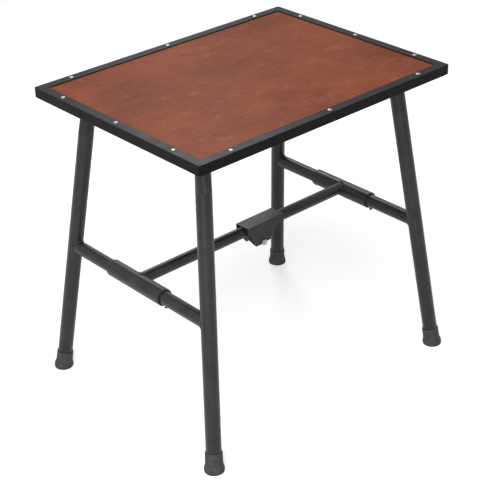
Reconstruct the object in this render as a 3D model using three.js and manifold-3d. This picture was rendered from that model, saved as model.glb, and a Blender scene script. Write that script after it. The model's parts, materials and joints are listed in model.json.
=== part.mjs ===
// Folding workbench: a plywood top in an angle-iron frame, on two splayed leg pairs that fold under it.
// Millimetres, +Z up. The origin is on the floor under the middle of the top, and +X runs along the top.
import * as THREE from 'three';
import { mergeVertices } from 'three/addons/utils/BufferGeometryUtils.js';
import Module from 'manifold-3d';

const wasm = await Module();
wasm.setup();

// Top
const topLength = 800;
const topWidth = 600;
const topHeight = 800;
const railDrop = 25;
const railLip = 25;
const railWall = 2.5;
const panelThickness = 18;
const panelRaise = 0.5;
const panelStepGap = 1;
const crossRailWidth = 50;
const crossRailThickness = 3;
const rivetFromCorner = 100;
const rivetInset = 13;
const rivetHeadRadius = 5.5;
const rivetHeadHeight = 2;
const rivetShoulder = 1.2;
const rivetShoulderRadius = 4.4;
const rivetCrownRadius = 2.2;
const rivetShankRadius = 2.2;
const rivetGrip = 12;

// Legs
const footInset = 7.3;
const footOutset = 3.5;
const legSplayX = THREE.MathUtils.degToRad(6.09);
const legSplayY = THREE.MathUtils.degToRad(7.35);
const legRadius = 19;
const legWall = 2;
const legTopGap = 1;
const leftPivotDrop = 104;
const rightPivotDrop = 54;
const tipHeight = 50;
const tipTopRadius = 21.5;
const tipSoleRadius = 25;
const tipSoleBand = 10;
const tipTaper = 8;
const tipEdge = 1;
const tipSole = 8;

// Leg pivots
const pivotRadius = 5;
const pinRecess = 1;
const hangerThickness = 8;
const hangerWidth = 22;
const slotGap = 0.5;

// Cross-bars and sleeves
const barZ = 371;
const barRadius = 17;
const stubLength = 14;
const journalRadius = 10;
const bushWall = 1.5;
const sleeveWall = 2.5;
const sleeveLength = 196;
const stopPinRadius = 4;
const stopPinLength = 9;

// Brace and knee
const braceRise = 6;
const braceRadius = 15;
const braceWall = 2;
const kneeDrop = 38;
const leftTubeToKnee = 47;
const rightTubeToKnee = 25;
const channelLeft = 53;
const channelRight = 72;
const channelWall = 2.5;
const channelSkirt = 4;
const channelGap = 40;
const kneePlateWall = 3;
const kneeEdge = 6;
const earLeftTop = 47;
const earHalfFoot = 24;
const earRightTop = 42;
const hexRadius = 9;
const headHeight = 6;
const nutHeight = 7;
const boltTail = 2;

// Clearances
const seatGap = 0.3;
const boltClearance = 0.4;

const roundSides = 20;
const smallSides = 12;
const hexSides = 6;
const weldTolerance = 1e-4;
const up = new THREE.Vector3(0, 0, 1);

const paintedSteel = new THREE.MeshStandardMaterial({ color: '#2f2d2f', roughness: 0.45, metalness: 0.3 });
const plywoodFilm = new THREE.MeshStandardMaterial({ color: '#8a4a35', roughness: 0.4, metalness: 0 });
const blackRubber = new THREE.MeshStandardMaterial({ color: '#1c1b1c', roughness: 0.8, metalness: 0 });
const zincPlate = new THREE.MeshStandardMaterial({ color: '#c4c3be', roughness: 0.35, metalness: 0.9 });
const blackNylon = new THREE.MeshStandardMaterial({ color: '#242424', roughness: 0.6, metalness: 0 });

const workbench = new THREE.Group();

function toSolid(geometry) {
  const bare = geometry.clone();
  bare.deleteAttribute('normal');
  bare.deleteAttribute('uv');
  const welded = mergeVertices(bare, weldTolerance);
  const vertProperties = new Float32Array(welded.attributes.position.array);
  const triVerts = new Uint32Array(welded.index.array);
  return new wasm.Manifold(new wasm.Mesh({ numProp: 3, vertProperties, triVerts }));
}

function toGeometry(solid) {
  const mesh = solid.getMesh();
  const geometry = new THREE.BufferGeometry();
  geometry.setAttribute('position', new THREE.BufferAttribute(new Float32Array(mesh.vertProperties), 3));
  geometry.setIndex(new THREE.BufferAttribute(new Uint32Array(mesh.triVerts), 1));
  geometry.computeVertexNormals();
  return geometry;
}

function cut(geometry, ...tools) {
  return toGeometry(tools.reduce((solid, tool) => solid.subtract(toSolid(tool)), toSolid(geometry)));
}

function join(first, ...others) {
  return toGeometry(others.reduce((solid, other) => solid.add(toSolid(other)), toSolid(first)));
}

function addPart(name, geometry, material, parent = workbench) {
  const mesh = new THREE.Mesh(geometry, material);
  mesh.name = name;
  parent.add(mesh);
  return mesh;
}

function circle(radius, sides) {
  return Array.from({ length: sides }, (_, i) => {
    const angle = (i * 2 * Math.PI) / sides;
    return new THREE.Vector2(radius * Math.cos(angle), radius * Math.sin(angle));
  });
}

function box(x0, x1, y0, y1, z0, z1) {
  const geometry = new THREE.BoxGeometry(x1 - x0, y1 - y0, z1 - z0);
  return geometry.translate((x0 + x1) / 2, (y0 + y1) / 2, (z0 + z1) / 2);
}

// A ring, or a plain disc where inner is 0, standing on z = 0.
function ring(outer, inner, length, sides = roundSides, innerSides = sides) {
  const shape = new THREE.Shape(circle(outer, sides));
  if (inner > 0) shape.holes.push(new THREE.Path(circle(inner, innerSides)));
  return new THREE.ExtrudeGeometry(shape, { depth: length, bevelEnabled: false });
}

// The same ring lying along Y, or along X, between two places.
function ringAlongY(outer, inner, y0, y1, sides, innerSides) {
  return ring(outer, inner, y1 - y0, sides, innerSides).rotateX(-Math.PI / 2).translate(0, y0, 0);
}

function ringAlongX(outer, inner, x0, x1, sides) {
  return ring(outer, inner, x1 - x0, sides).rotateY(Math.PI / 2).translate(x0, 0, 0);
}

// A flat plate whose outline is drawn in X and Z.
function upright(points, y0, thickness) {
  const shape = new THREE.Shape(points.map(([x, z]) => new THREE.Vector2(x, z)));
  const geometry = new THREE.ExtrudeGeometry(shape, { depth: thickness, bevelEnabled: false });
  return geometry.rotateX(Math.PI / 2).translate(0, y0 + thickness, 0);
}

// Plywood panel in its angle-iron frame, riveted through the lips
const lipUnder = topHeight - railWall;
const panelTop = lipUnder - seatGap;
const panelUnder = panelTop - panelThickness;
const panelHalfLength = topLength / 2 - railWall - seatGap;
const panelHalfWidth = topWidth / 2 - railWall - seatGap;
const rivetHoleRadius = rivetShankRadius + seatGap;
const rivetHole = ring(rivetHoleRadius, 0, topHeight - panelUnder + 2 * seatGap, smallSides);

function rivetPlaces(runLength, edgeDistance) {
  const end = runLength / 2 - rivetFromCorner;
  return [-end, 0, end].map((along) => [along, rivetInset - edgeDistance]);
}

function mitredStrip(runLength, edgeDistance, depth, z0, z1) {
  const half = runLength / 2 - seatGap / 2;
  const shape = new THREE.Shape([
    new THREE.Vector2(-half, -edgeDistance),
    new THREE.Vector2(half, -edgeDistance),
    new THREE.Vector2(half - depth, depth - edgeDistance),
    new THREE.Vector2(depth - half, depth - edgeDistance),
  ]);
  return new THREE.ExtrudeGeometry(shape, { depth: z1 - z0, bevelEnabled: false }).translate(0, 0, z0);
}

function rivet() {
  const profile = [
    [0, -rivetGrip],
    [rivetShankRadius, -rivetGrip],
    [rivetShankRadius, seatGap],
    [rivetHeadRadius, seatGap],
    [rivetShoulderRadius, seatGap + rivetShoulder],
    [rivetCrownRadius, rivetHeadHeight],
    [0, rivetHeadHeight],
  ];
  const points = profile.map(([radius, z]) => new THREE.Vector2(radius, z));
  return new THREE.LatheGeometry(points, smallSides).rotateX(Math.PI / 2);
}

const railSides = [
  { name: 'front', turn: 0, runLength: topLength, edgeDistance: topWidth / 2 },
  { name: 'right', turn: Math.PI / 2, runLength: topWidth, edgeDistance: topLength / 2 },
  { name: 'back', turn: Math.PI, runLength: topLength, edgeDistance: topWidth / 2 },
  { name: 'left', turn: -Math.PI / 2, runLength: topWidth, edgeDistance: topLength / 2 },
];

const panelHoles = [];
for (const { name, turn, runLength, edgeDistance } of railSides) {
  const side = new THREE.Group();
  side.rotation.z = turn;
  workbench.add(side);
  const places = rivetPlaces(runLength, edgeDistance);
  const lip = mitredStrip(runLength, edgeDistance, railLip, lipUnder, topHeight);
  const web = mitredStrip(runLength, edgeDistance, railWall, topHeight - railDrop, topHeight);
  const holes = places.map(([x, y]) => rivetHole.clone().translate(x, y, panelUnder - seatGap));
  panelHoles.push(...holes.map((hole) => hole.clone().rotateZ(turn)));
  addPart(`${name}_rail`, cut(join(lip, web), ...holes), paintedSteel, side);
  places.forEach(([x, y], i) => {
    addPart(`${name}_rail_rivet_${i + 1}`, rivet(), zincPlate, side).position.set(x, y, topHeight);
  });
}
const panelBlank = box(-panelHalfLength, panelHalfLength, -panelHalfWidth, panelHalfWidth, panelUnder, panelTop);
const raisedX = topLength / 2 - railLip - panelStepGap;
const raisedY = topWidth / 2 - railLip - panelStepGap;
const raisedFace = box(-raisedX, raisedX, -raisedY, raisedY, panelUnder, panelTop + panelRaise);
addPart('top_panel', cut(join(panelBlank, raisedFace), ...panelHoles), plywoodFilm);

// Leg pairs: legs with rubber tips, a cross-bar in stubs on the legs, and hangers on a cross rail under the
// panel, which reach into the legs' slotted tops and hold the pivot pins
const leftPivotZ = topHeight - leftPivotDrop;
const rightPivotZ = topHeight - rightPivotDrop;
const footX = topLength / 2 - footInset;
const footY = topWidth / 2 + footOutset;
const legSlopeX = Math.tan(legSplayX);
const legSlopeY = Math.tan(legSplayY);
const legX = (z) => footX - z * legSlopeX;
const legY = (z) => footY - z * legSlopeY;
const legRise = 1 / Math.hypot(legSlopeX, legSlopeY, 1);
const boreRadius = pivotRadius + boltClearance;
const crossRailTop = panelUnder - seatGap;
const crossRailUnder = crossRailTop - crossRailThickness;
const hangerTop = crossRailUnder - seatGap;
const topReach = (pivotZ) => Math.sqrt((crossRailUnder - legTopGap - pivotZ) ** 2 - legRadius ** 2);
const slotFoot = hangerWidth / 2 / Math.cos(legSplayX) + legRadius * legSlopeX + slotGap;
const pinHalf = legRadius - pinRecess;
const barX = legX(barZ);
const legSide = (legRadius + seatGap) * Math.hypot(1, legSlopeY);
const stubFace = legY(barZ) - legSide - stubLength;
const journalEnd = legY(barZ + journalRadius) - legSide;
const tubeEnd = tipSole + seatGap;
const floorBlock = box(-topLength, topLength, -topWidth, topWidth, -topHeight, 0);

function rubberTip() {
  const topBore = legRadius + seatGap;
  const profile = [
    [0, -tipSole],
    [tipSoleRadius, -tipSole],
    [tipSoleRadius, tipSoleBand],
    [tipTopRadius, tipSoleBand + tipTaper],
    [tipTopRadius, tipHeight - tipEdge],
    [tipTopRadius - tipEdge, tipHeight],
    [topBore, tipHeight],
    [topBore, tipSole],
    [0, tipSole],
  ];
  const points = profile.map(([radius, z]) => new THREE.Vector2(radius, z));
  return new THREE.LatheGeometry(points, roundSides).rotateX(Math.PI / 2);
}

// A flat hanger that leans like the leg, with its round foot about the pivot at the origin.
function hanger(sideX, rise) {
  const half = hangerWidth / 2;
  const leanCos = Math.cos(legSplayX);
  const leanSin = sideX * Math.sin(legSplayX);
  const place = (s, t) => [s * leanCos - t * leanSin, s * leanSin + t * leanCos];
  const end = (s) => place(s, (rise - s * leanSin) / leanCos);
  const foot = circle(half, roundSides).slice(roundSides / 2).map(({ x, y }) => place(x, y));
  const blank = upright([end(half), end(-half), ...foot, place(half, 0)], -hangerThickness / 2, hangerThickness);
  return cut(blank, ringAlongY(boreRadius, 0, -hangerThickness, hangerThickness, smallSides));
}

// What is cut from a leg's top so that the hanger can come out on the inner side when the leg folds.
function hangerSlot(sideX, reach) {
  const outer = sideX * (hangerWidth / 2 + slotGap);
  const inner = -sideX * 2 * legRadius;
  const halfWidth = hangerThickness / 2 + slotGap;
  const sides = [Math.min(outer, inner), Math.max(outer, inner)];
  return box(...sides, -halfWidth, halfWidth, -slotFoot, reach + legRadius).rotateY(-sideX * legSplayX);
}

for (const { pair, sideX, pivotZ } of [
  { pair: 'left', sideX: -1, pivotZ: leftPivotZ },
  { pair: 'right', sideX: 1, pivotZ: rightPivotZ },
]) {
  const pivotX = sideX * legX(pivotZ);
  for (const { place, sideY } of [{ place: 'front', sideY: -1 }, { place: 'back', sideY: 1 }]) {
    const name = `${pair}_${place}`;
    const pivotY = sideY * legY(pivotZ);
    const leg = new THREE.Group();
    const direction = new THREE.Vector3(-sideX * legSlopeX, -sideY * legSlopeY, 1).normalize();
    leg.position.set(sideX * footX, sideY * footY, 0);
    leg.quaternion.setFromUnitVectors(up, direction);
    leg.updateMatrixWorld();
    workbench.add(leg);
    const toLeg = leg.matrixWorld.clone().invert();
    const reach = topReach(pivotZ);
    const legLength = pivotZ / legRise + reach;
    const hangerY = pivotY - (sideY * legSlopeY * legRise * reach) / 2;
    const pivotBore = ringAlongY(boreRadius, 0, -2 * legRadius, 2 * legRadius, smallSides);
    pivotBore.translate(pivotX, pivotY, pivotZ).applyMatrix4(toLeg);
    const slot = hangerSlot(sideX, reach).translate(pivotX, hangerY, pivotZ).applyMatrix4(toLeg);
    const tube = ring(legRadius, legRadius - legWall, legLength - tubeEnd).translate(0, 0, tubeEnd);
    addPart(`${name}_leg`, cut(tube, pivotBore, slot), paintedSteel, leg);
    addPart(`${name}_tip`, cut(rubberTip(), floorBlock.clone().applyMatrix4(toLeg)), blackRubber, leg);
    const plate = hanger(sideX, hangerTop - pivotZ);
    addPart(`${name}_hanger`, plate, paintedSteel).position.set(pivotX, hangerY, pivotZ);
    const pivotPin = ringAlongY(pivotRadius, 0, -pinHalf, pinHalf, smallSides);
    addPart(`${name}_pivot_pin`, pivotPin, paintedSteel).position.set(pivotX, pivotY, pivotZ);

    const legEnvelope = ring(legRadius + seatGap, 0, legLength).applyMatrix4(leg.matrixWorld);
    const stub = ringAlongY(barRadius, journalRadius + boltClearance, stubFace, legY(barZ));
    if (sideY < 0) stub.rotateZ(Math.PI);
    stub.translate(sideX * barX, 0, barZ);
    addPart(`${name}_bar_stub`, cut(stub, legEnvelope), paintedSteel);
    const pin = ring(stopPinRadius, 0, stopPinLength, smallSides);
    const pinY = sideY * (sleeveLength / 2 + seatGap + stopPinRadius);
    pin.translate(sideX * barX, pinY, barZ - barRadius - seatGap - stopPinLength);
    addPart(`${name}_stop_pin`, pin, paintedSteel);
  }
  const barHalf = stubFace - seatGap;
  const bar = join(ringAlongY(barRadius, 0, -barHalf, barHalf), ringAlongY(journalRadius, 0, -journalEnd, journalEnd));
  addPart(`${pair}_cross_bar`, bar, paintedSteel).position.set(sideX * barX, 0, barZ);
  const railHalf = crossRailWidth / 2;
  const strip = box(-railHalf, railHalf, -panelHalfWidth, panelHalfWidth, crossRailUnder, crossRailTop);
  addPart(`${pair}_cross_rail`, strip, paintedSteel).position.x = sideX * legX(hangerTop);
}

// Brace: a tube from each sleeve to the knee in the middle
const bushInner = barRadius + seatGap;
const bushOuter = bushInner + bushWall;
const sleeveInner = bushOuter + seatGap;
const sleeveOuter = sleeveInner + sleeveWall;
const braceZ = barZ + braceRise;
const halfSleeve = sleeveLength / 2;

// The knee sits where the right tube lies level when both pairs are folded flat, with the bolt in both halves:
// the bolt is then as far from the folded left bar as it is from the left bar at rest
const barReach = (pivotZ) => (pivotZ - barZ) / Math.cos(legSplayX);
const foldedLeftX = barReach(leftPivotZ) - legX(leftPivotZ);
const foldedRightX = legX(rightPivotZ) - barReach(rightPivotZ);
const boltBelowBar = kneeDrop - braceRise;
const foldedShift = foldedRightX - barX - foldedLeftX;
const foldedRise = rightPivotZ - leftPivotZ - boltBelowBar;
const kneeBalance = barX ** 2 - foldedShift ** 2 + boltBelowBar ** 2 - foldedRise ** 2;
const kneeX = kneeBalance / (2 * (foldedShift - barX));
const tubeEnds = { left: [-barX, kneeX - leftTubeToKnee], right: [kneeX + rightTubeToKnee, barX] };

for (const { pair, sideX } of [{ pair: 'left', sideX: -1 }, { pair: 'right', sideX: 1 }]) {
  const sleeve = new THREE.Group();
  sleeve.position.set(sideX * barX, 0, barZ);
  workbench.add(sleeve);
  addPart(`${pair}_sleeve`, ringAlongY(sleeveOuter, sleeveInner, -halfSleeve, halfSleeve), paintedSteel, sleeve);
  addPart(`${pair}_bush`, ringAlongY(bushOuter, bushInner, -halfSleeve, halfSleeve), blackNylon, sleeve);
  const tube = ringAlongX(braceRadius, braceRadius - braceWall, ...tubeEnds[pair]).translate(0, 0, braceZ);
  const cope = ringAlongY(sleeveOuter + seatGap, 0, -halfSleeve, halfSleeve);
  addPart(`${pair}_brace_tube`, cut(tube, cope.translate(sideX * barX, 0, barZ)), paintedSteel);
}

// A hexagon-headed bolt along Y, with its head at the low end.
function hexBolt(radius, grip, tail) {
  const head = ringAlongY(hexRadius, 0, -grip / 2 - seatGap - headHeight, -grip / 2 - seatGap, hexSides);
  const shank = ringAlongY(radius, 0, -grip / 2 - seatGap - headHeight / 2, grip / 2 + tail, smallSides);
  return join(head, shank);
}

function hexNut(radius, grip) {
  const seat = grip / 2 + seatGap;
  return ringAlongY(hexRadius, radius + seatGap, seat, seat + nutHeight, hexSides, smallSides);
}

// Knee: a channel over both tubes, welded to the right one, whose ears hook over the bolt from above;
// two plates carry the bolt below the left tube's end
const knee = new THREE.Group();
knee.position.set(kneeX, 0, braceZ);
workbench.add(knee);
const hookRadius = pivotRadius + boltClearance;
const kneeFoot = -kneeDrop - kneeEdge;
const channelUnder = braceRadius + seatGap;
const channelTop = channelUnder + channelWall;
const channelReach = channelGap / 2 + channelWall;
const hookStart = Math.PI;
const hookEnd = THREE.MathUtils.degToRad(65);
const hookSteps = 6;
const hook = Array.from({ length: hookSteps + 1 }, (_, i) => {
  const angle = hookStart + ((hookEnd - hookStart) * i) / hookSteps;
  return [hookRadius * Math.cos(angle), hookRadius * Math.sin(angle) - kneeDrop];
});
const hookBrow = hook[hookSteps][1];
const earOutline = [
  [-channelLeft, channelTop],
  [-channelLeft, -channelSkirt],
  [-earLeftTop, -channelSkirt],
  [-earHalfFoot, kneeFoot],
  [-hookRadius, kneeFoot],
  ...hook,
  [earHalfFoot + kneeEdge, hookBrow],
  [earRightTop, -channelSkirt],
  [channelRight, -channelSkirt],
  [channelRight, channelTop],
];
const channelRoof = box(-channelLeft, channelRight, -channelReach, channelReach, channelUnder, channelTop);
const frontEar = upright(earOutline, -channelReach, channelWall);
const backEar = upright(earOutline, channelGap / 2, channelWall);
addPart('knee_channel', join(channelRoof, frontEar, backEar), paintedSteel, knee);

const plateOutline = [
  [-channelLeft, -channelSkirt - kneeEdge],
  [-channelLeft, channelSkirt + kneeEdge],
  [earHalfFoot, channelSkirt + kneeEdge],
  [earRightTop, -channelSkirt - kneeEdge],
  [earHalfFoot + kneeEdge, kneeFoot],
  [-earHalfFoot, kneeFoot],
];
const plateY = braceRadius + seatGap;
const plateBore = ringAlongY(pivotRadius + seatGap, 0, -channelReach, channelReach, smallSides);
plateBore.translate(0, 0, -kneeDrop);
const frontPlate = upright(plateOutline, -plateY - kneePlateWall, kneePlateWall);
const backPlate = upright(plateOutline, plateY, kneePlateWall);
addPart('knee_plate_front', cut(frontPlate, plateBore), paintedSteel, knee);
addPart('knee_plate_back', cut(backPlate, plateBore), paintedSteel, knee);
const kneeBolt = hexBolt(pivotRadius, 2 * channelReach, nutHeight + boltTail);
addPart('knee_bolt', kneeBolt, zincPlate, knee).position.z = -kneeDrop;
addPart('knee_nut', hexNut(pivotRadius, 2 * channelReach), zincPlate, knee).position.z = -kneeDrop;

export default workbench;
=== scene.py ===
import json
import math

import bmesh
import bpy
import numpy as np
from mathutils import Matrix, Vector


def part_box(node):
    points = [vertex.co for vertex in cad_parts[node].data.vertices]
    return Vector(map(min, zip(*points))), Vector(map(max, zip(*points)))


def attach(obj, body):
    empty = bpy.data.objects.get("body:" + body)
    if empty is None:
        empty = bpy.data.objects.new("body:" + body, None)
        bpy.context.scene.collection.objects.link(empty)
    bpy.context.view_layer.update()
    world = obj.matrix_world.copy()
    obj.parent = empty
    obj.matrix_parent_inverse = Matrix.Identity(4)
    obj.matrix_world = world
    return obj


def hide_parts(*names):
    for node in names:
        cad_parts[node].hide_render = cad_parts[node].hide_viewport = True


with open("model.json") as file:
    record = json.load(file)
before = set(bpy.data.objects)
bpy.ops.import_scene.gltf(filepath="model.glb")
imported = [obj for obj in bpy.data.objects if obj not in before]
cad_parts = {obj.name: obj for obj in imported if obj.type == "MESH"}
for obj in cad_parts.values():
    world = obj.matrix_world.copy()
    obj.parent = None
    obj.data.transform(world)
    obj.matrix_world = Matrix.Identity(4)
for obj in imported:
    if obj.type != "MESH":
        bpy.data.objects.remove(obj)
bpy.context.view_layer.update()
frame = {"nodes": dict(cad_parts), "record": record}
nodes = frame["nodes"]
record = frame["record"]
bodyOf = {node: body for body, members in record["behaviour"]["bodies"].items() for node in members}
joints = {joint["name"]: joint for joint in record["behaviour"]["joints"]}
mounts = {mount["name"]: mount for mount in record["mounts"]}
mm = 0.001  # the pieces' sizes are in millimetres
weldDistance = 1e-6  # in metres: points closer than this become one
smoothAngle = 32  # in degrees: a fold sharper than this is an edge
tubeSides = 64
pinSides = 32
print("frame loaded:", len(nodes), "nodes")

# Camera: where the photograph was taken from, worked out from the corners of the top and the feet. Its place
# is in metres, its angles in degrees and its sensor in millimetres
camera = {
    "place": (-1.98926, -2.20872, 2.01253),
    "yaw": 41.65,
    "pitch": 29.23,
    "roll": -1.33,
    "focalPixels": 1330.59,
    "framePixels": 480,
    "sensor": 36.0,
    "clipEnd": 50,
}


def addCamera():
    yaw, pitch, roll = (math.radians(camera[key]) for key in ("yaw", "pitch", "roll"))
    forward = Vector((math.sin(yaw) * math.cos(pitch), math.cos(yaw) * math.cos(pitch), -math.sin(pitch)))
    right = Vector((math.cos(yaw), -math.sin(yaw), 0))
    upward = right.cross(forward)
    rolledRight = math.cos(roll) * right + math.sin(roll) * upward
    rolledUp = math.cos(roll) * upward - math.sin(roll) * right
    data = bpy.data.cameras.new("bench_camera")
    data.sensor_width = camera["sensor"]
    data.lens = camera["focalPixels"] / camera["framePixels"] * camera["sensor"]
    data.clip_end = camera["clipEnd"]
    cameraObject = bpy.data.objects.new("bench_camera", data)
    turn = Matrix((rolledRight, rolledUp, -forward)).transposed().to_4x4()
    cameraObject.matrix_world = Matrix.Translation(camera["place"]) @ turn
    bpy.context.scene.collection.objects.link(cameraObject)
    bpy.context.scene.camera = cameraObject


addCamera()
print("camera set")


# Colour and node helpers
def linear(hexColour):
    parts = [int(hexColour[i:i + 2], 16) / 255 for i in (1, 3, 5)]
    return tuple(p / 12.92 if p <= 0.04045 else ((p + 0.055) / 1.055) ** 2.4 for p in parts) + (1.0,)


def grey(level):
    return (level, level, level, 1.0)


def addNode(tree, kind, inputs=None, **settings):
    node = tree.nodes.new(kind)
    for name, value in settings.items():
        setattr(node, name, value)
    for name, value in (inputs or {}).items():
        socket = node.inputs[name]
        if isinstance(value, bpy.types.NodeSocket):
            tree.links.new(value, socket)
        else:
            socket.default_value = value
    return node


def perMm(size):
    return 1 / (size * mm)  # a pattern's scale from its real size in millimetres


def newMaterial(name):
    material = bpy.data.materials.new(name)
    material.use_nodes = True
    tree = material.node_tree
    shader = tree.nodes["Principled BSDF"]
    place = addNode(tree, "ShaderNodeTexCoord").outputs["Object"]
    return material, tree, shader, place


def setRamp(ramp, stops, colours):
    elements = ramp.color_ramp.elements
    while len(elements) < len(stops):
        elements.new(0.5)  # between the two that a ramp starts with, and moved to its own stop below
    for element, stop, colour in zip(elements, stops, colours):
        element.position = stop
        element.color = colour


noiseSpan = (0.3, 0.7)  # where most values of a noise texture lie


# Film-faced plywood: ply pressed under a reddish-brown phenolic film. The film is smooth with a dull sheen,
# the ply's grain shows through as faint streaks along the top, and use leaves pale scuffs.
plywoodFilm = {
    "dark": "#6a311c",
    "middle": "#80412a",
    "light": "#945036",
    "toneStops": (0.36, 0.5, 0.66),
    "cloudMm": 150,
    "cloudShare": 0.62,
    "grainMm": 7,
    "grainSquash": 0.06,  # draws the grain out along the top
    "grainShare": 0.28,
    "speckMm": 2.2,
    "speckShare": 0.12,
    "scuff": "#a9745f",
    "scuffMm": 60,
    "scuffStops": (0.55, 0.78),
    "scuffing": 0.55,
    "reliefMm": 0.3,
    "reliefStrength": 0.12,
    "roughness": (0.3, 0.42),
    "ior": 1.52,
    "specular": 0.02,
}


def makePlywoodFilm():
    p = plywoodFilm
    material, tree, shader, place = newMaterial("film_faced_plywood")
    along = addNode(tree, "ShaderNodeMapping",
                    {"Vector": place, "Scale": (p["grainSquash"], 1, 1)}).outputs["Vector"]
    clouds = addNode(tree, "ShaderNodeTexNoise",
                     {"Vector": place, "Scale": perMm(p["cloudMm"]), "Detail": 5, "Roughness": 0.62})
    grain = addNode(tree, "ShaderNodeTexNoise",
                    {"Vector": along, "Scale": perMm(p["grainMm"]), "Detail": 4, "Roughness": 0.6})
    specks = addNode(tree, "ShaderNodeTexNoise",
                     {"Vector": place, "Scale": perMm(p["speckMm"]), "Detail": 2, "Roughness": 0.5})
    streaked = addNode(tree, "ShaderNodeMath", {0: grain.outputs["Fac"], 1: p["grainShare"]},
                       operation="MULTIPLY")
    clouded = addNode(tree, "ShaderNodeMath",
                      {0: clouds.outputs["Fac"], 1: p["cloudShare"], 2: streaked.outputs[0]},
                      operation="MULTIPLY_ADD")
    speckled = addNode(tree, "ShaderNodeMath",
                       {0: specks.outputs["Fac"], 1: p["speckShare"], 2: clouded.outputs[0]},
                       operation="MULTIPLY_ADD")
    tone = addNode(tree, "ShaderNodeValToRGB", {"Fac": speckled.outputs[0]})
    setRamp(tone, p["toneStops"], [linear(p["dark"]), linear(p["middle"]), linear(p["light"])])
    scuffs = addNode(tree, "ShaderNodeTexNoise",
                     {"Vector": place, "Scale": perMm(p["scuffMm"]), "Detail": 9, "Roughness": 0.78})
    scuffMask = addNode(tree, "ShaderNodeValToRGB", {"Fac": scuffs.outputs["Fac"]})
    setRamp(scuffMask, p["scuffStops"], [grey(0.0), grey(p["scuffing"])])
    colour = addNode(tree, "ShaderNodeMix", {"Factor": scuffMask.outputs["Color"]}, data_type="RGBA")
    tree.links.new(tone.outputs["Color"], colour.inputs["A"])
    colour.inputs["B"].default_value = linear(p["scuff"])
    tree.links.new(colour.outputs["Result"], shader.inputs["Base Color"])
    gloss = addNode(tree, "ShaderNodeMapRange",
                    {"Value": clouds.outputs["Fac"], "From Min": noiseSpan[0], "From Max": noiseSpan[1],
                     "To Min": p["roughness"][0], "To Max": p["roughness"][1]})
    tree.links.new(gloss.outputs["Result"], shader.inputs["Roughness"])
    relief = addNode(tree, "ShaderNodeBump",
                     {"Height": speckled.outputs[0], "Strength": p["reliefStrength"],
                      "Distance": p["reliefMm"] * mm})
    tree.links.new(relief.outputs["Normal"], shader.inputs["Normal"])
    shader.inputs["IOR"].default_value = p["ior"]
    shader.inputs["Specular IOR Level"].default_value = p["specular"]
    return material


# Satin black stove enamel on steel: near black, a soft highlight, a fine orange peel and a little dust.
# Orange peel is under 1 mm on the real tube and is drawn at 3 mm, so that it shows. The frame and the tubes
# have two copies of one paint: the frame's is darker, as painted shade on its flat sides, and the tubes' is
# lighter, as painted highlight along the round tubes, so that they look greyer than the frame.
blackEnamel = {
    # The frame's copy: darker colours, as painted shade on the frame's flat sides
    "frame": {"name": "shaded_black_enamel", "dark": "#0f0c0c", "light": "#1b1717", "dust": "#3a3738",
              "dusting": 0.5, "specular": 0.06},
    # The tubes' copy: lighter colours, as painted highlight along the round tubes
    "tubes": {"name": "highlit_black_enamel", "dark": "#252224", "light": "#312e30", "dust": "#4a4749",
              "dusting": 0.35, "specular": 0.28},
    "mottleMm": 45,
    "toneStops": (0.35, 0.68),
    "dustMm": 9,
    "dustStops": (0.6, 0.82),
    "peelMm": 3,
    "reliefMm": 0.25,
    "reliefStrength": 0.15,
    "roughness": (0.27, 0.4),
    "ior": 1.5,
}


def makeBlackEnamel(which):
    p = {**blackEnamel, **blackEnamel[which]}
    material, tree, shader, place = newMaterial(p["name"])
    mottle = addNode(tree, "ShaderNodeTexNoise",
                     {"Vector": place, "Scale": perMm(p["mottleMm"]), "Detail": 6, "Roughness": 0.6})
    tone = addNode(tree, "ShaderNodeValToRGB", {"Fac": mottle.outputs["Fac"]})
    setRamp(tone, p["toneStops"], [linear(p["dark"]), linear(p["light"])])
    dust = addNode(tree, "ShaderNodeTexNoise",
                   {"Vector": place, "Scale": perMm(p["dustMm"]), "Detail": 8, "Roughness": 0.8})
    dustMask = addNode(tree, "ShaderNodeValToRGB", {"Fac": dust.outputs["Fac"]})
    setRamp(dustMask, p["dustStops"], [grey(0.0), grey(p["dusting"])])
    colour = addNode(tree, "ShaderNodeMix", {"Factor": dustMask.outputs["Color"]}, data_type="RGBA")
    tree.links.new(tone.outputs["Color"], colour.inputs["A"])
    colour.inputs["B"].default_value = linear(p["dust"])
    tree.links.new(colour.outputs["Result"], shader.inputs["Base Color"])
    gloss = addNode(tree, "ShaderNodeMapRange",
                    {"Value": mottle.outputs["Fac"], "From Min": noiseSpan[0], "From Max": noiseSpan[1],
                     "To Min": p["roughness"][0], "To Max": p["roughness"][1]})
    tree.links.new(gloss.outputs["Result"], shader.inputs["Roughness"])
    peel = addNode(tree, "ShaderNodeTexNoise",
                   {"Vector": place, "Scale": perMm(p["peelMm"]), "Detail": 2, "Roughness": 0.4})
    relief = addNode(tree, "ShaderNodeBump",
                     {"Height": peel.outputs["Fac"], "Strength": p["reliefStrength"],
                      "Distance": p["reliefMm"] * mm})
    tree.links.new(relief.outputs["Normal"], shader.inputs["Normal"])
    shader.inputs["IOR"].default_value = p["ior"]
    shader.inputs["Specular IOR Level"].default_value = p["specular"]
    return material


# Moulded black rubber: dull, a fine grain from the mould and greyish rub marks. The grain is drawn at 1.6 mm,
# coarser than a mould leaves it, so that it shows.
blackRubber = {
    "dark": "#2e2b2e",
    "light": "#4a474a",
    "rubMm": 12,
    "toneStops": (0.38, 0.72),
    "grainMm": 1.6,
    "reliefMm": 0.2,
    "reliefStrength": 0.3,
    "roughness": 0.78,
    "ior": 1.52,
}


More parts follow.
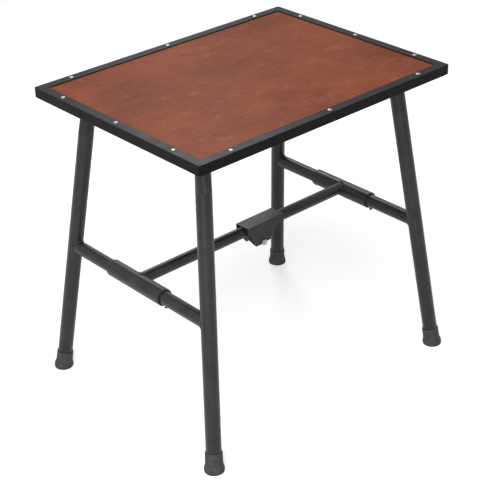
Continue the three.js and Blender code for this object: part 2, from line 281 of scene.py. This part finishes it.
def makeBlackRubber():
    p = blackRubber
    material, tree, shader, place = newMaterial("moulded_black_rubber")
    rubs = addNode(tree, "ShaderNodeTexNoise",
                   {"Vector": place, "Scale": perMm(p["rubMm"]), "Detail": 7, "Roughness": 0.7})
    tone = addNode(tree, "ShaderNodeValToRGB", {"Fac": rubs.outputs["Fac"]})
    setRamp(tone, p["toneStops"], [linear(p["dark"]), linear(p["light"])])
    tree.links.new(tone.outputs["Color"], shader.inputs["Base Color"])
    grain = addNode(tree, "ShaderNodeTexNoise",
                    {"Vector": place, "Scale": perMm(p["grainMm"]), "Detail": 3, "Roughness": 0.6})
    relief = addNode(tree, "ShaderNodeBump",
                     {"Height": grain.outputs["Fac"], "Strength": p["reliefStrength"],
                      "Distance": p["reliefMm"] * mm})
    tree.links.new(relief.outputs["Normal"], shader.inputs["Normal"])
    shader.inputs["Roughness"].default_value = p["roughness"]
    shader.inputs["IOR"].default_value = p["ior"]
    return material


# Bright zinc plate: pale metal with a fine satin mottle from the bath.
brightZinc = {
    "dark": "#85847f",
    "light": "#b0afa9",
    "mottleMm": 3,
    "toneStops": (0.35, 0.65),
    "roughness": (0.26, 0.42),
}


def makeBrightZinc():
    p = brightZinc
    material, tree, shader, place = newMaterial("bright_zinc_plate")
    mottle = addNode(tree, "ShaderNodeTexNoise",
                     {"Vector": place, "Scale": perMm(p["mottleMm"]), "Detail": 5, "Roughness": 0.6})
    tone = addNode(tree, "ShaderNodeValToRGB", {"Fac": mottle.outputs["Fac"]})
    setRamp(tone, p["toneStops"], [linear(p["dark"]), linear(p["light"])])
    tree.links.new(tone.outputs["Color"], shader.inputs["Base Color"])
    gloss = addNode(tree, "ShaderNodeMapRange",
                    {"Value": mottle.outputs["Fac"],
                     "To Min": p["roughness"][0], "To Max": p["roughness"][1]})
    tree.links.new(gloss.outputs["Result"], shader.inputs["Roughness"])
    shader.inputs["Metallic"].default_value = 1
    return material


# Black nylon: the bushes inside the sleeves, semi-matt with a slight flow mottle.
blackNylon = {
    "dark": "#1f1f1f",
    "light": "#2b2b2b",
    "mottleMm": 8,
    "toneStops": (0.4, 0.6),
    "roughness": 0.55,
}


def makeBlackNylon():
    p = blackNylon
    material, tree, shader, place = newMaterial("moulded_black_nylon")
    mottle = addNode(tree, "ShaderNodeTexNoise",
                     {"Vector": place, "Scale": perMm(p["mottleMm"]), "Detail": 3})
    tone = addNode(tree, "ShaderNodeValToRGB", {"Fac": mottle.outputs["Fac"]})
    setRamp(tone, p["toneStops"], [linear(p["dark"]), linear(p["light"])])
    tree.links.new(tone.outputs["Color"], shader.inputs["Base Color"])
    shader.inputs["Roughness"].default_value = p["roughness"]
    return material


finishes = {
    "film_faced_plywood": makePlywoodFilm(),
    "black_paint": makeBlackEnamel("frame"),
    "rubber": makeBlackRubber(),
    "zinc_plate": makeBrightZinc(),
    "nylon": makeBlackNylon(),
}
# The tubes' copy of the enamel, lighter as painted highlight
tubePaint = makeBlackEnamel("tubes")
slotOf = {part["node"]: part["material_slot"] for part in record["subparts"]}
for nodeName, nodeObject in nodes.items():
    nodeObject.data.materials.clear()
    nodeObject.data.materials.append(finishes[slotOf[nodeName]])
print("materials made:", len(finishes) + 1)


# Gives a piece the finish of its slot and its body, and hides the nodes that it replaces. The frame's paint
# is for the top. Painted pieces that move, and the rods that they turn on, have the tubes' paint.
def settle(piece, body, slotName, replaced, withTubes=False):
    # Painted pieces off the top take the tubes' copy, whose lighter colour is painted highlight
    highlit = slotName == "black_paint" and (withTubes or body != "top")
    piece.data.materials.append(tubePaint if highlit else finishes[slotName])
    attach(piece, body)
    if replaced:
        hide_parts(*replaced)


# Large faces lead the shading, so that a small rounded edge doesn't bend the light on the long face
# beside it.
def evenShading(piece):
    shading = piece.modifiers.new("even_shading", "WEIGHTED_NORMAL")
    shading.keep_sharp = True


def putMesh(name, vertices, faces, sharpAngle=smoothAngle):
    mesh = bpy.data.meshes.new(name)
    mesh.from_pydata(vertices, [], faces)
    work = bmesh.new()
    work.from_mesh(mesh)
    bmesh.ops.remove_doubles(work, verts=work.verts, dist=weldDistance)
    bmesh.ops.recalc_face_normals(work, faces=work.faces)
    work.to_mesh(mesh)
    work.free()
    mesh.polygons.foreach_set("use_smooth", np.ones(len(mesh.polygons), bool))
    mesh.set_sharp_from_angle(angle=math.radians(sharpAngle))
    piece = bpy.data.objects.new(name, mesh)
    bpy.context.scene.collection.objects.link(piece)
    evenShading(piece)
    return piece


# A grid of points becomes quads. The first direction closes on itself on request. The second one closes too,
# unless it is left open, and then its two ends are capped.
def gridPiece(name, points, closedFirst=False, sharpAngle=smoothAngle, openSecond=False):
    rows, columns = points.shape[:2]
    index = np.arange(rows * columns).reshape(rows, columns)
    caps = [index[:, 0].tolist(), index[::-1, -1].tolist()] if openSecond else []
    if closedFirst:
        index = np.vstack([index, index[:1]])
    across = np.roll(index, -1, axis=1)
    quads = np.stack([index[:-1], across[:-1], across[1:], index[1:]], axis=-1)
    if openSecond:
        quads = quads[:, :-1]
    return putMesh(name, points.reshape(-1, 3).tolist(), quads.reshape(-1, 4).tolist() + caps, sharpAngle)


cornerShare = 0.45  # a rounded corner takes at most this share of the shorter edge beside it


# Each corner of a 2-D outline becomes a short parabola that starts and ends one radius away along its edges.
def filleted(corners, radius, steps=4, closed=True):
    corners = np.asarray(corners, float)
    before = np.roll(corners, 1, axis=0)
    after = np.roll(corners, -1, axis=0)
    toBefore = before - corners
    toAfter = after - corners
    lengthBefore = np.linalg.norm(toBefore, axis=1, keepdims=True)
    lengthAfter = np.linalg.norm(toAfter, axis=1, keepdims=True)
    cutBack = np.minimum(radius, cornerShare * np.minimum(lengthBefore, lengthAfter))
    start = corners + toBefore / lengthBefore * cutBack
    end = corners + toAfter / lengthAfter * cutBack
    t = np.linspace(0, 1, steps)[:, None, None]
    rounded = (1 - t) ** 2 * start + 2 * t * (1 - t) * corners + t ** 2 * end
    if not closed:
        rounded[:, 0] = corners[0]
        rounded[:, -1] = corners[-1]
    return rounded.transpose(1, 0, 2).reshape(-1, 2)


nearlyUpright = 0.9  # a unit direction with more z than this is crossed with x instead of z


# Two directions square to an axis and to each other, by cross products.
def crossAxes(direction):
    direction = np.asarray(direction, float)
    direction = direction / np.linalg.norm(direction)
    helper = np.array([0, 0, 1.0]) if abs(direction[2]) < nearlyUpright else np.array([1.0, 0, 0])
    first = np.cross(helper, direction)
    first = first / np.linalg.norm(first)
    return direction, first, np.cross(direction, first)


# The angles of a whole turn in equal steps, without the last one, which is the first again.
def fullTurn(steps):
    return np.linspace(0, 2 * np.pi, steps, endpoint=False)


# A profile of (distance along the axis, radius) carried round an axis. A point is the start, plus the
# distance along the axis, plus the radius times the direction outwards at its angle.
def revolved(name, start, direction, profile, sides=tubeSides, closed=True):
    along, first, second = crossAxes(direction)
    profile = np.asarray(profile, float) * mm
    angle = fullTurn(sides)
    outward = np.cos(angle)[:, None] * first + np.sin(angle)[:, None] * second
    points = np.asarray(start, float) + profile[:, None, :1] * along + profile[:, None, 1:] * outward[None]
    return gridPiece(name, points, closedFirst=closed)


# A tube's wall: a rectangle of distance along and radius, with rounded corners.
def tubeProfile(s0, s1, outer, inner, edge):
    return filleted([(s0, inner), (s0, outer), (s1, outer), (s1, inner)], edge)


# Angle-iron frame: the L-shaped section carried round the top. At each corner a point goes round an arc,
# whose radius is the outer round less the point's inset, and never less than the inner round
angleFrame = {
    "drop": 25,
    "lip": 25,
    "wall": 2.5,
    "mitreGap": 0.15,
    "outerRound": 5,
    "innerRound": 0.8,
    "edge": 0.9,
    "cornerSteps": 7,
}


def makeAngleFrame():
    p = angleFrame
    low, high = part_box("front_rail")
    halfLength = high.x / mm + p["mitreGap"]  # each rail's mitred ends are short by the gap
    halfWidth = -low.y / mm
    top = high.z / mm
    section = filleted([
        (0, top), (p["lip"], top), (p["lip"], top - p["wall"]),
        (p["wall"], top - p["wall"]), (p["wall"], top - p["drop"]), (0, top - p["drop"]),
    ], p["edge"])
    inset = section[:, 0][:, None]
    cornerRound = np.maximum(p["outerRound"] - inset, p["innerRound"])
    corner = np.repeat(np.arange(4), p["cornerSteps"])
    angle = (corner + np.tile(np.linspace(0, 1, p["cornerSteps"]), 4)) * np.pi / 2
    signX = np.array([1, -1, -1, 1])[corner]
    signY = np.array([1, 1, -1, -1])[corner]
    x = signX * (halfLength - inset - cornerRound) + cornerRound * np.cos(angle)
    y = signY * (halfWidth - inset - cornerRound) + cornerRound * np.sin(angle)
    z = np.broadcast_to(section[:, 1][:, None], x.shape)
    piece = gridPiece("angle_iron_frame", np.stack([x, y, z], axis=-1) * mm, closedFirst=True)
    settle(piece, "top", "black_paint", ["front_rail", "right_rail", "back_rail", "left_rail"])


makeAngleFrame()
print("angle-iron frame made")


# Rivets: a domed head on a short shank. The dome is a quarter of an ellipse turned round, and it starts on
# a low upright rim
rivet = {
    "headRadius": 5.5,
    "seat": 0.1,
    "rim": 0.4,
    "headHeight": 2.0,
    "shankRadius": 2.2,
    "grip": 12,
    "domeSteps": 8,
    "sides": 24,
}


def makeRivets():
    p = rivet
    turn = np.linspace(0, np.pi / 2, p["domeSteps"])
    rimTop = p["seat"] + p["rim"]
    rise = rimTop + (p["headHeight"] - rimTop) * np.sin(turn)
    dome = np.stack([rise, p["headRadius"] * np.cos(turn)], axis=-1)
    stem = [
        (-p["grip"], 0), (-p["grip"], p["shankRadius"]),
        (p["seat"], p["shankRadius"]), (p["seat"], p["headRadius"]),
    ]
    profile = np.vstack([stem, dome])
    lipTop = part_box("front_rail")[1].z
    for node in sorted(n for n in nodes if "_rivet_" in n):
        low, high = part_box(node)
        centre = ((low.x + high.x) / 2, (low.y + high.y) / 2, lipTop)
        name = node.replace("_rivet_", "_domed_rivet_")
        piece = revolved(name, centre, (0, 0, 1), profile, p["sides"], closed=False)
        settle(piece, bodyOf[node], "zinc_plate", [node])


makeRivets()
print("rivets made")

# Legs: round tube on the line from the floor to the pivot, with a moulded rubber tip. The top is slotted on
# the inner side for the hanger, and it reaches as high as it can turn under the cross rail
legTube = {
    "radius": 19,
    "wall": 2,
    "start": 8.3,  # along the leg from the floor, just above the bottom of the tip's cup
    "turnTop": 774.9,  # height that the turning top stays under
    "edge": 0.6,
    "seamEdge": 0.01,  # nearly square where tube and slotted top meet
    "slotFoot": 13.6,
    "slotGap": 0.5,
    "slotSteps": 57,
}
rubberTip = {
    "outline": [
        (-8, 0), (-8, 21), (-1, 25), (9, 25), (17, 22.2), (24, 21.6),
        (47, 21.4), (50, 20.6), (50, 19.3), (8, 19.3), (8, 0),
    ],
    "edge": 2.6,
}
pivotPin = {"radius": 5, "proud": 0.4, "edge": 0.6}


# A leg's line runs from its place on the floor to the middle of its pivot pin.
def legLine(pair, place):
    foot = np.array(mounts[f"floor_{pair}_{place}"]["pos_m"])
    low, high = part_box(f"{pair}_{place}_pivot_pin")
    pivot = np.array((low + high) / 2)
    return foot, pivot


# The slotted top: the tube's wall carried round from one side of the slot to the other. At each station the
# slot's sides are the angles where the wall's y equals the slot's own, so the arc sine of y over the radius.
def slottedTop(name, pair, place, foot, pivot, s0, s1):
    p = legTube
    low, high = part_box(f"{pair}_{place}_hanger")
    along = (pivot - foot) / np.linalg.norm(pivot - foot)
    inward = np.cross((0, 1.0, 0), along)
    inward = inward / np.linalg.norm(inward) * (1 if pair == "left" else -1)
    sideways = np.cross(along, inward)
    inner = p["radius"] - p["wall"]
    edges = np.array([[p["seamEdge"]], [p["seamEdge"]], [p["edge"]], [p["edge"]]])
    corners = [(s0, inner), (s0, p["radius"]), (s1, p["radius"]), (s1, inner)]
    profile = filleted(corners, edges) * mm
    station, radius = profile[:, :1], profile[:, 1:]
    axisY = foot[1] + station * along[1]
    slotSides = np.array([low.y - p["slotGap"] * mm, high.y + p["slotGap"] * mm])
    angles = np.sort(np.arcsin((slotSides - axisY) / (radius * sideways[1])), axis=1)
    turn = np.linspace(0, 1, p["slotSteps"])
    angle = angles[:, 1:] + turn * (2 * np.pi + angles[:, :1] - angles[:, 1:])
    points = foot + station[:, :, None] * along + radius[:, :, None] * (
        np.cos(angle)[:, :, None] * inward + np.sin(angle)[:, :, None] * sideways)
    return gridPiece(name, points, closedFirst=True, openSecond=True)


# The tube runs up to the slot, and the slotted top goes on from there. The top's rim turns about the pivot
# and stays under the cross rail, so its reach is the square root of the free height squared less the
# radius squared.
def makeLegTube(pair, place):
    p = legTube
    foot, pivot = legLine(pair, place)
    toPivot = np.linalg.norm(pivot - foot) / mm
    slotStart = toPivot - p["slotFoot"]
    reach = math.sqrt((p["turnTop"] - pivot[2] / mm) ** 2 - p["radius"] ** 2)
    profile = tubeProfile(p["start"], slotStart, p["radius"], p["radius"] - p["wall"], p["seamEdge"])
    tube = revolved(f"{pair}_{place}_leg_tube", foot, pivot - foot, profile)
    settle(tube, f"{pair}_legs", "black_paint", [f"{pair}_{place}_leg"])
    top = slottedTop(f"{pair}_{place}_leg_top", pair, place, foot, pivot, slotStart, toPivot + reach)
    settle(top, f"{pair}_legs", "black_paint", [])


# What would hang below the floor is pressed up to it, which makes the tip's flat sole.
def flattenSole(piece):
    vertices = piece.data.vertices
    points = np.empty(len(vertices) * 3)
    vertices.foreach_get("co", points)
    points = points.reshape(-1, 3)
    points[:, 2] = np.maximum(points[:, 2], 0)
    vertices.foreach_set("co", points.ravel())
    piece.data.update()


# The tip is its outline turned round the leg's line.
def makeRubberTip(pair, place):
    foot, pivot = legLine(pair, place)
    outline = filleted(rubberTip["outline"], rubberTip["edge"], closed=False)
    tip = revolved(f"{pair}_{place}_rubber_tip", foot, pivot - foot, outline, closed=False)
    flattenSole(tip)
    settle(tip, f"{pair}_legs", "rubber", [f"{pair}_{place}_tip"])


# The rod lies across the leg and stands a little proud of the tube at both ends.
def makePivotRod(pair, place):
    p = pivotPin
    pivot = legLine(pair, place)[1]
    reach = legTube["radius"] + p["proud"]
    ends = [(-reach, 0), (-reach, p["radius"]), (reach, p["radius"]), (reach, 0)]
    outline = filleted(ends, p["edge"], closed=False)
    rod = revolved(f"{pair}_{place}_pivot_rod", pivot, (0, 1, 0), outline, pinSides, closed=False)
    settle(rod, "top", "black_paint", [f"{pair}_{place}_pivot_pin"], withTubes=True)


pairs = ("left", "right")
places = ("front", "back")
for pair in pairs:
    for place in places:
        makeLegTube(pair, place)
        makeRubberTip(pair, place)
        makePivotRod(pair, place)
print("legs and rubber tips made")

# Cross-bars, sleeves and brace tubes; welded ends follow the round of what they meet
crossBar = {"radius": 17, "edge": 0.2, "sink": 0.4, "gap": 0.3}
sleeve = {"wall": 2.5, "edge": 0.7}
braceTube = {"radius": 15, "wall": 2, "edge": 0.6, "sink": 0.3}
weldBead = {"radius": 2.3, "ripple": 0.2, "ripples": 17, "sides": 10, "steps": 136, "sharpAngle": 80}


# A bar's axis is its brace's hinge.
def barPlace(pair):
    place = np.array(joints["left_brace_drop" if pair == "left" else "right_brace_swing"]["pos_m"])
    return place / mm


# Where a bar's surface at (x, z) off its axis meets a leg's tube: the leg's own y less its half chord there,
# which the leg's slope makes a little longer.
def barEnd(pair, place, x, z, sink):
    foot, pivot = (point / mm for point in legLine(pair, place))
    slope = (pivot - foot) / (pivot[2] - foot[2])
    centre = barPlace(pair)
    rise = centre[2] + z - foot[2]
    offLeg = centre[0] + x - (foot[0] + slope[0] * rise)
    legY = foot[1] + slope[1] * rise
    chord = np.sqrt((legTube["radius"] - sink) ** 2 - offLeg ** 2) * math.hypot(1, slope[1])
    return legY - np.sign(legY) * chord


# Each bar lies between two stubs: a stub is flat towards the bar and coped to the leg.
def makeCrossBar(pair):
    centre = barPlace(pair)
    radius = crossBar["radius"]
    angle = fullTurn(tubeSides)
    ringScale = np.array([0, 1, 1, 0])[:, None]  # middle and rim of the flat end, rim and middle of the cope
    atFlatEnd = np.array([True, True, False, False])[:, None]
    x = ringScale * radius * np.cos(angle)
    z = ringScale * radius * np.sin(angle)
    faces = []
    for place in places:
        node = f"{pair}_{place}_bar_stub"
        low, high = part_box(node)
        face = (high.y if place == "front" else low.y) / mm
        faces.append(face)
        y = np.where(atFlatEnd, face, barEnd(pair, place, x, z, crossBar["sink"]))
        stub = gridPiece(f"{pair}_{place}_bar_end", np.stack([centre[0] + x, y, centre[2] + z], axis=-1) * mm)
        settle(stub, f"{pair}_legs", "black_paint", [node])
    reach = faces[1] - crossBar["gap"]
    ends = [(-reach, 0), (-reach, radius), (reach, radius), (reach, 0)]
    outline = filleted(ends, crossBar["edge"], closed=False)
    piece = revolved(f"{pair}_cross_bar_tube", centre * (mm, 0, mm), (0, 1, 0), outline, closed=False)
    settle(piece, bodyOf[f"{pair}_cross_bar"], "black_paint", [f"{pair}_cross_bar"])


# A bead: a small rippled circle carried round a joint line, spanned by the tube's radius and its axis.
def makeBead(name, line, outward, along, body):
    p = weldBead
    turn = fullTurn(p["steps"])
    section = fullTurn(p["sides"])
    size = p["radius"] * (1 + p["ripple"] * np.sin(p["ripples"] * turn))
    points = line[:, None] + size[:, None, None] * (
        np.cos(section)[None, :, None] * outward[:, None] + np.sin(section)[None, :, None] * along)
    piece = gridPiece(name, points * mm, closedFirst=True, sharpAngle=p["sharpAngle"])
    settle(piece, body, "black_paint", [])


# A bar's bead runs where the bar's own round meets the leg.
def makeBarBeads(pair):
    centre = barPlace(pair)
    turn = fullTurn(weldBead["steps"])
    outward = np.stack([np.cos(turn), 0 * turn, np.sin(turn)], axis=-1)
    offset = crossBar["radius"] * outward
    for place in places:
        y = barEnd(pair, place, offset[:, 0], offset[:, 2], 0)
        line = np.stack([centre[0] + offset[:, 0], y, centre[2] + offset[:, 2]], axis=-1)
        makeBead(f"{pair}_{place}_bar_weld", line, outward, np.array([0, 1.0, 0]), f"{pair}_legs")


# The sleeve's outer radius is half its node's width, and the brace tube is coped to it.
def makeSleeve(pair):
    low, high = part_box(f"{pair}_sleeve")
    outer = (high.x - low.x) / 2 / mm
    centre = barPlace(pair)
    profile = tubeProfile(low.y / mm, high.y / mm, outer, outer - sleeve["wall"], sleeve["edge"])
    piece = revolved(f"{pair}_sleeve_tube", centre * (mm, 0, mm), (0, 1, 0), profile)
    settle(piece, f"{pair}_brace", "black_paint", [f"{pair}_sleeve"])
    return outer


# The tube's coped end lies on the sleeve: its distance from the bar is the half chord of the sleeve at that
# height. Its five rings are the inner and outer rim of the cope, then the outer side, the broken edge and
# the inner rim at the knee.
def makeBraceTube(pair, sleeveOuter):
    p = braceTube
    side = 1 if pair == "left" else -1
    low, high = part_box(f"{pair}_brace_tube")
    kneeEnd = (high.x if pair == "left" else low.x) / mm
    centre = barPlace(pair)
    braceZ = (low.z + high.z) / 2 / mm
    angle = fullTurn(tubeSides)
    outer, inner, edge = p["radius"], p["radius"] - p["wall"], p["edge"]
    radius = np.array([inner, outer, outer, outer - edge, inner])[:, None]
    share = np.array([0, 0, 1, 1, 1])[:, None]
    back = np.array([0, 0, edge, 0, 0])[:, None]
    y = radius * np.cos(angle)
    z = braceZ + radius * np.sin(angle)
    chord = np.sqrt((sleeveOuter - p["sink"]) ** 2 - (z - centre[2]) ** 2)
    x = (1 - share) * (centre[0] + side * chord) + share * (kneeEnd - side * back)
    piece = gridPiece(f"{pair}_brace_pipe", np.stack([x, y, z], axis=-1) * mm, closedFirst=True)
    settle(piece, f"{pair}_brace", "black_paint", [f"{pair}_brace_tube"])
    turn = fullTurn(weldBead["steps"])
    outward = np.stack([0 * turn, np.cos(turn), np.sin(turn)], axis=-1)
    lineZ = braceZ + outer * outward[:, 2]
    lineX = centre[0] + side * np.sqrt(sleeveOuter ** 2 - (lineZ - centre[2]) ** 2)
    line = np.stack([lineX, outer * outward[:, 1], lineZ], axis=-1)
    makeBead(f"{pair}_brace_weld", line, outward, np.array([1.0, 0, 0]), f"{pair}_brace")


for pair in pairs:
    makeCrossBar(pair)
    makeBarBeads(pair)
    makeBraceTube(pair, makeSleeve(pair))
print("cross-bars, sleeves, brace tubes and welds made")

# Stop pins beside the sleeves: short upright cylinders with rounded ends
stopPin = {"edge": 1.2}


def makeStopPins():
    for node in sorted(n for n in nodes if n.endswith("_stop_pin")):
        low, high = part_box(node)
        radius = (high.y - low.y) / 2 / mm
        height = (high.z - low.z) / mm
        ends = [(0, 0), (0, radius), (height, radius), (height, 0)]
        outline = filleted(ends, stopPin["edge"], closed=False)
        centre = ((low.x + high.x) / 2, (low.y + high.y) / 2, low.z)
        name = node.replace("stop_pin", "stop_stud")
        piece = revolved(name, centre, (0, 0, 1), outline, pinSides, closed=False)
        settle(piece, bodyOf[node], "black_paint", [node])


makeStopPins()
print("stop pins made")

# Bolts and nuts: each row is a circle cut by the hexagon, so it has the lesser of its own radius and the
# hexagon's, which is the distance to a flat over the cosine of the angle from that flat's middle. The outer
# faces are turned down to a circle just inside the flats
hexagon = {
    "corner": 9,
    "faceShare": 0.95,
    "chamfer": 1.3,
    "headHeight": 6,
    "bolt": 5,
    "tailChamfer": 1,
    "bore": 5.3,
    "sides": 72,
    "sharpAngle": 25,
}
hexFlat = hexagon["corner"] * math.cos(math.pi / 6)


def hexSurface(name, centre, rows, closed):
    angle = fullTurn(hexagon["sides"])
    hexRadius = hexFlat / np.cos((angle % (np.pi / 3)) - np.pi / 6)
    rows = np.asarray(rows, float)
    radius = np.minimum(rows[:, 1:], hexRadius)
    y = np.broadcast_to(rows[:, :1], radius.shape)
    points = np.stack([radius * np.cos(angle), y, radius * np.sin(angle)], axis=-1) * mm + np.asarray(centre)
    return gridPiece(name, points, closedFirst=closed, sharpAngle=hexagon["sharpAngle"])


def makeFasteners():
    p = hexagon
    corner, chamfer, bolt, tail = p["corner"], p["chamfer"], p["bolt"], p["tailChamfer"]
    face = hexFlat * p["faceShare"]
    for node in sorted(n for n in nodes if n.endswith(("_bolt", "_nut"))):
        low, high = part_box(node)
        centre = ((low.x + high.x) / 2, 0, (low.z + high.z) / 2)
        y0, y1 = low.y / mm, high.y / mm
        if node.endswith("_bolt"):
            headEnd = y0 + p["headHeight"]
            rows = [
                (y0, 0), (y0, face), (y0 + chamfer, corner), (headEnd, corner),
                (headEnd, bolt), (y1 - tail, bolt), (y1, bolt - tail), (y1, 0),
            ]
            piece = hexSurface(node.replace("_bolt", "_hex_bolt"), centre, rows, closed=False)
        else:
            rows = [
                (y0, p["bore"]), (y0, face), (y0 + chamfer, corner),
                (y1 - chamfer, corner), (y1, face), (y1, p["bore"]),
            ]
            piece = hexSurface(node.replace("_nut", "_hex_nut"), centre, rows, closed=True)
        settle(piece, bodyOf[node], "zinc_plate", [node])


makeFasteners()
print("bolts and nuts made")

# Pressed plates: the channel, the knee plates, the hangers and the cross rails. Each is a copy of its node,
# with its triangles merged to flat faces and its edges broken
pressedPlate = {"edge": 0.9, "segments": 3, "flatAngle": 1.0, "sharpAngle": 40, "bevelAngle": 50}


def softenPlate(node, name):
    p = pressedPlate
    mesh = nodes[node].data.copy()
    mesh.name = name
    work = bmesh.new()
    work.from_mesh(mesh)
    bmesh.ops.remove_doubles(work, verts=work.verts, dist=weldDistance)
    flatAngle = math.radians(p["flatAngle"])
    bmesh.ops.dissolve_limit(work, angle_limit=flatAngle, verts=work.verts, edges=work.edges)
    work.to_mesh(mesh)
    work.free()
    mesh.materials.clear()
    mesh.polygons.foreach_set("use_smooth", np.ones(len(mesh.polygons), bool))
    mesh.set_sharp_from_angle(angle=math.radians(p["sharpAngle"]))
    piece = bpy.data.objects.new(name, mesh)
    bpy.context.scene.collection.objects.link(piece)
    bevel = piece.modifiers.new("broken_edges", "BEVEL")
    bevel.width = p["edge"] * mm
    bevel.segments = p["segments"]
    bevel.limit_method = "ANGLE"
    bevel.angle_limit = math.radians(p["bevelAngle"])
    bevel.use_clamp_overlap = True
    evenShading(piece)
    settle(piece, bodyOf[node], "black_paint", [node])


for node in sorted(n for n in nodes if n.endswith(("_hanger", "_cross_rail")) or n.startswith("knee_plate")):
    softenPlate(node, node + "_pressed")
softenPlate("knee_channel", "knee_channel_pressed")
print("pressed plates made")

# Studio: a pale floor, a white surround and soft light, all sizes in metres
studio = {
    "floorSeen": "#f2f2f2",
    "floorLit": "#6a6a6a",
    "floorGlow": 0.45,
    "floorRoughness": 0.9,
    "floorSpecular": 0.1,
    "floorSize": 30.0,
    "surround": 0.3,
    "lamps": [
        {"name": "key", "place": (-2.4, -1.6, 4.4), "size": 4.5, "watts": 170},
        {"name": "fill", "place": (-3.0, -2.2, 1.5), "size": 2.4, "watts": 60},
        {"name": "back", "place": (1.4, 1.9, 2.5), "size": 1.1, "watts": 18},
    ],
    "aim": (0, 0, 0.55),
}


# 1 for the rays that show the surroundings: straight from the camera, or by way of gloss or glass
def showingRay(tree):
    path = addNode(tree, "ShaderNodeLightPath").outputs
    mirrored = addNode(tree, "ShaderNodeMath", {0: path["Is Camera Ray"], 1: path["Is Glossy Ray"]},
                       operation="ADD", use_clamp=True).outputs[0]
    return addNode(tree, "ShaderNodeMath", {0: mirrored, 1: path["Is Transmission Ray"]},
                   operation="ADD", use_clamp=True).outputs[0]


# The floor is seen as pale and nearly white, as in the photograph, while the bench is lit by a greyer one.
def makeFloor():
    p = studio
    half = p["floorSize"] / 2
    corners = [(-half, -half, 0), (half, -half, 0), (half, half, 0), (-half, half, 0)]
    floor = bpy.data.meshes.new("studio_floor")
    floor.from_pydata(corners, [], [(0, 1, 2, 3)])
    floorObject = bpy.data.objects.new("studio_floor", floor)
    bpy.context.scene.collection.objects.link(floorObject)
    material = bpy.data.materials.new("pale_floor")
    material.use_nodes = True
    tree = material.node_tree
    shader = tree.nodes["Principled BSDF"]
    seen = showingRay(tree)
    colour = addNode(tree, "ShaderNodeMix", {"Factor": seen}, data_type="RGBA")
    colour.inputs["A"].default_value = linear(p["floorLit"])
    colour.inputs["B"].default_value = linear(p["floorSeen"])
    tree.links.new(colour.outputs["Result"], shader.inputs["Base Color"])
    glow = addNode(tree, "ShaderNodeMath", {0: seen, 1: p["floorGlow"]}, operation="MULTIPLY")
    tree.links.new(glow.outputs[0], shader.inputs["Emission Strength"])
    shader.inputs["Emission Color"].default_value = grey(1.0)
    shader.inputs["Roughness"].default_value = p["floorRoughness"]
    shader.inputs["Specular IOR Level"].default_value = p["floorSpecular"]
    floor.materials.append(material)


def makeLamps():
    for lamp in studio["lamps"]:
        data = bpy.data.lights.new(lamp["name"], "AREA")
        data.shape = "DISK"
        data.size = lamp["size"]
        data.energy = lamp["watts"]
        lampObject = bpy.data.objects.new(lamp["name"], data)
        lampObject.location = lamp["place"]
        towards = Vector(studio["aim"]) - Vector(lamp["place"])
        lampObject.rotation_euler = towards.to_track_quat("-Z", "Y").to_euler()
        bpy.context.scene.collection.objects.link(lampObject)


# The surround is seen as white and lights the bench with less than that.
def makeSurround():
    world = bpy.data.worlds.new("white_surround")
    bpy.context.scene.world = world
    world.use_nodes = True
    tree = world.node_tree
    background = tree.nodes["Background"]
    background.inputs["Color"].default_value = grey(1.0)
    strength = addNode(tree, "ShaderNodeMapRange",
                       {"Value": showingRay(tree), "To Min": studio["surround"], "To Max": 1.0})
    tree.links.new(strength.outputs["Result"], background.inputs["Strength"])


makeFloor()
makeLamps()
makeSurround()
bpy.context.scene.view_settings.view_transform = "Standard"
print("studio set")
